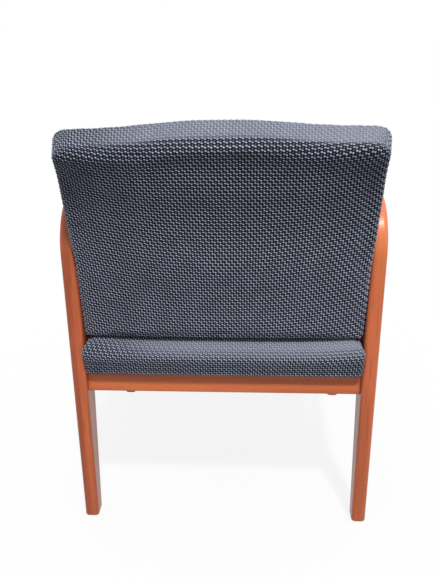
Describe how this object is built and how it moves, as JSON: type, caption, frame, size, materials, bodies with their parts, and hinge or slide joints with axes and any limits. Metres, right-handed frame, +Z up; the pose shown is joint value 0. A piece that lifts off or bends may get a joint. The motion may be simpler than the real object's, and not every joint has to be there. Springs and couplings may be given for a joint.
{
  "type": "visitor chair",
  "caption": "Fixed wooden visitor chair with rounded arms on tapered legs, a sloping upholstered seat and a reclined, curled upholstered back with a low crest.",
  "frame": {"origin": "on the floor, under the middle of the chair's bounding box", "axes": "+X to the sitter's left, -Y to the front, +Z up"},
  "size_m": [0.58, 0.6544, 0.8246],
  "materials": {
    "frame_wood": "satin",
    "inner_wood": "matte",
    "plywood": "matte",
    "cover_fabric": "matte",
    "foam": "matte",
    "dust_cloth": "matte",
    "steel": "satin",
    "glide_plastic": "matte"
  },
  "bodies": {
    "root": {"arm_dowels": "inner_wood", "arm_end_dowels": "inner_wood", "arm_left": "frame_wood", "arm_right": "frame_wood", "back_bolts": "steel", "back_bottom_rail": "inner_wood", "back_cover": "cover_fabric", "back_foam_front": "foam", "back_foam_rear": "foam", "back_frame_dowels": "inner_wood", "back_inserts": "steel", "back_panel": "plywood", "back_stile_left": "inner_wood", "back_stile_right": "inner_wood", "back_top_rail": "inner_wood", "bolt_plugs": "frame_wood", "bolt_washers": "steel", "corner_block_screws": "steel", "cross_rail_dowels": "inner_wood", "frame_barrel_nuts": "steel", "frame_bolts": "steel", "front_arm_bend_left": "frame_wood", "front_arm_bend_right": "frame_wood", "front_corner_block_left": "inner_wood", "front_corner_block_right": "inner_wood", "front_glide_left": "glide_plastic", "front_glide_right": "glide_plastic", "front_leg_left": "frame_wood", "front_leg_right": "frame_wood", "front_rail": "frame_wood", "glide_nails": "steel", "rear_arm_bend_left": "frame_wood", "rear_arm_bend_right": "frame_wood", "rear_corner_block_left": "inner_wood", "rear_corner_block_right": "inner_wood", "rear_glide_left": "glide_plastic", "rear_glide_right": "glide_plastic", "rear_leg_left": "frame_wood", "rear_leg_right": "frame_wood", "rear_rail": "frame_wood", "seat_board": "plywood", "seat_cover": "cover_fabric", "seat_dust_cover": "dust_cloth", "seat_foam": "foam", "seat_screws": "steel", "side_rail_dowels": "inner_wood", "side_rail_left": "frame_wood", "side_rail_right": "frame_wood"}
  },
  "joints": []
}
